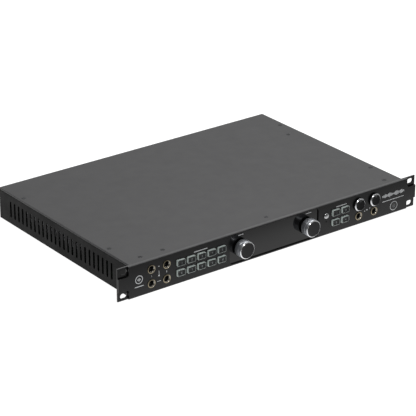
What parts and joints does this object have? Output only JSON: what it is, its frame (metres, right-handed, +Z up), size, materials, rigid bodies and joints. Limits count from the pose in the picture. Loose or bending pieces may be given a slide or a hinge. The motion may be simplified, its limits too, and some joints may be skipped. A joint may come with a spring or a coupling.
{
  "type": "rack audio interface",
  "caption": "Shallow black rack unit: slotted ears, recessed dark display between push-and-turn knobs, square push buttons, front jacks, side vents, rear sockets.",
  "frame": {"origin": "centre of the bounding box in X and Y, on the flat underside of the chassis", "axes": "+X to the right seen from the front, along the width; +Y towards the rear sockets; +Z up"},
  "size_m": [0.4826, 0.328, 0.0442],
  "materials": {
    "black_metal": "satin fine-textured black",
    "cover_metal": "satin charcoal",
    "smoked": "gloss, dark smoked",
    "black_plastic": "matte",
    "steel": "satin plated",
    "knob_metal": "machined, polished front edge, dark face",
    "gold": "polished",
    "board": "solder-masked board",
    "button": "frosted pale grey-green sides, dark face",
    "chrome": "polished",
    "knob_black": "black with a bright turned edge"
  },
  "bodies": {
    "chassis": {"front_panel": "black_metal", "side_panel_left": "black_metal", "side_panel_right": "black_metal", "bottom_plate": "black_metal", "rear_panel": "black_metal", "top_cover": "cover_metal", "display_window": "smoked", "display_module": "black_plastic", "coax_block": "black_plastic", "optical_block_1": "black_plastic", "optical_block_2": "black_plastic", "power_inlet": "black_plastic", "power_supply": "black_plastic", "combo_jack_1": "black_plastic", "combo_jack_2": "black_plastic", "combo_jack_3": "black_plastic", "combo_jack_4": "black_plastic", "data_port_block": "steel", "multipin_socket_1": "steel", "multipin_socket_2": "steel", "line_out_jack_1": "steel", "line_out_jack_2": "steel", "bnc_socket_1": "steel", "bnc_socket_2": "steel", "input_encoder": "steel", "output_encoder": "steel", "phones_pot_1": "steel", "phones_pot_2": "steel", "phones_jack_1": "gold", "phones_jack_2": "gold", "instrument_jack_1": "gold", "instrument_jack_2": "gold", "instrument_jack_3": "gold", "instrument_jack_4": "gold", "main_board": "board", "input_switch_board": "board", "output_switch_board": "board"},
    "input_button_1": {"input_button_1": "button"},
    "input_button_2": {"input_button_2": "button"},
    "input_button_3": {"input_button_3": "button"},
    "input_button_4": {"input_button_4": "button"},
    "input_button_5": {"input_button_5": "button"},
    "input_button_6": {"input_button_6": "button"},
    "input_button_7": {"input_button_7": "button"},
    "input_button_8": {"input_button_8": "button"},
    "input_button_9": {"input_button_9": "button"},
    "input_button_10": {"input_button_10": "button"},
    "output_button_1": {"output_button_1": "button"},
    "output_button_2": {"output_button_2": "button"},
    "output_button_3": {"output_button_3": "button"},
    "output_button_4": {"output_button_4": "button"},
    "talkback_button": {"talkback_button": "chrome"},
    "power_button": {"power_button": "black_plastic"},
    "input_knob_shaft": {"input_knob_shaft": "steel"},
    "input_knob": {"input_knob": "knob_metal"},
    "output_knob_shaft": {"output_knob_shaft": "steel"},
    "output_knob": {"output_knob": "knob_metal"},
    "phones_knob_1": {"phones_knob_1": "knob_black"},
    "phones_knob_2": {"phones_knob_2": "knob_black"}
  },
  "joints": [
    {"name": "input_button_1_press", "type": "slide", "parent": "chassis", "child": "input_button_1", "axis": [0, 1, 0], "range_m": [0, 0.0012], "stiffness_N_per_m": 1000},
    {"name": "input_button_2_press", "type": "slide", "parent": "chassis", "child": "input_button_2", "axis": [0, 1, 0], "range_m": [0, 0.0012], "stiffness_N_per_m": 1000},
    {"name": "input_button_3_press", "type": "slide", "parent": "chassis", "child": "input_button_3", "axis": [0, 1, 0], "range_m": [0, 0.0012], "stiffness_N_per_m": 1000},
    {"name": "input_button_4_press", "type": "slide", "parent": "chassis", "child": "input_button_4", "axis": [0, 1, 0], "range_m": [0, 0.0012], "stiffness_N_per_m": 1000},
    {"name": "input_button_5_press", "type": "slide", "parent": "chassis", "child": "input_button_5", "axis": [0, 1, 0], "range_m": [0, 0.0012], "stiffness_N_per_m": 1000},
    {"name": "input_button_6_press", "type": "slide", "parent": "chassis", "child": "input_button_6", "axis": [0, 1, 0], "range_m": [0, 0.0012], "stiffness_N_per_m": 1000},
    {"name": "input_button_7_press", "type": "slide", "parent": "chassis", "child": "input_button_7", "axis": [0, 1, 0], "range_m": [0, 0.0012], "stiffness_N_per_m": 1000},
    {"name": "input_button_8_press", "type": "slide", "parent": "chassis", "child": "input_button_8", "axis": [0, 1, 0], "range_m": [0, 0.0012], "stiffness_N_per_m": 1000},
    {"name": "input_button_9_press", "type": "slide", "parent": "chassis", "child": "input_button_9", "axis": [0, 1, 0], "range_m": [0, 0.0012], "stiffness_N_per_m": 1000},
    {"name": "input_button_10_press", "type": "slide", "parent": "chassis", "child": "input_button_10", "axis": [0, 1, 0], "range_m": [0, 0.0012], "stiffness_N_per_m": 1000},
    {"name": "output_button_1_press", "type": "slide", "parent": "chassis", "child": "output_button_1", "axis": [0, 1, 0], "range_m": [0, 0.0012], "stiffness_N_per_m": 1000},
    {"name": "output_button_2_press", "type": "slide", "parent": "chassis", "child": "output_button_2", "axis": [0, 1, 0], "range_m": [0, 0.0012], "stiffness_N_per_m": 1000},
    {"name": "output_button_3_press", "type": "slide", "parent": "chassis", "child": "output_button_3", "axis": [0, 1, 0], "range_m": [0, 0.0012], "stiffness_N_per_m": 1000},
    {"name": "output_button_4_press", "type": "slide", "parent": "chassis", "child": "output_button_4", "axis": [0, 1, 0], "range_m": [0, 0.0012], "stiffness_N_per_m": 1000},
    {"name": "talkback_button_press", "type": "slide", "parent": "chassis", "child": "talkback_button", "axis": [0, 1, 0], "range_m": [0, 0.001], "stiffness_N_per_m": 1000},
    {"name": "power_button_press", "type": "slide", "parent": "chassis", "child": "power_button", "axis": [0, 1, 0], "range_m": [0, 0.0008], "stiffness_N_per_m": 1000},
    {"name": "input_knob_push", "type": "slide", "parent": "chassis", "child": "input_knob_shaft", "axis": [0, 1, 0], "range_m": [0, 0.0008], "stiffness_N_per_m": 4000},
    {"name": "input_knob_turn", "type": "hinge", "parent": "input_knob_shaft", "child": "input_knob", "pos_m": [-0.0539, -0.155, 0.0222], "axis": [0, 1, 0], "continuous": true},
    {"name": "output_knob_push", "type": "slide", "parent": "chassis", "child": "output_knob_shaft", "axis": [0, 1, 0], "range_m": [0, 0.0008], "stiffness_N_per_m": 4000},
    {"name": "output_knob_turn", "type": "hinge", "parent": "output_knob_shaft", "child": "output_knob", "pos_m": [0.0539, -0.155, 0.0222], "axis": [0, 1, 0], "continuous": true},
    {"name": "phones_knob_1_turn", "type": "hinge", "parent": "chassis", "child": "phones_knob_1", "pos_m": [0.141, -0.152, 0.0293], "axis": [0, 1, 0], "range_deg": [-150, 150]},
    {"name": "phones_knob_2_turn", "type": "hinge", "parent": "chassis", "child": "phones_knob_2", "pos_m": [0.1678, -0.152, 0.0293], "axis": [0, 1, 0], "range_deg": [-150, 150]}
  ]
}
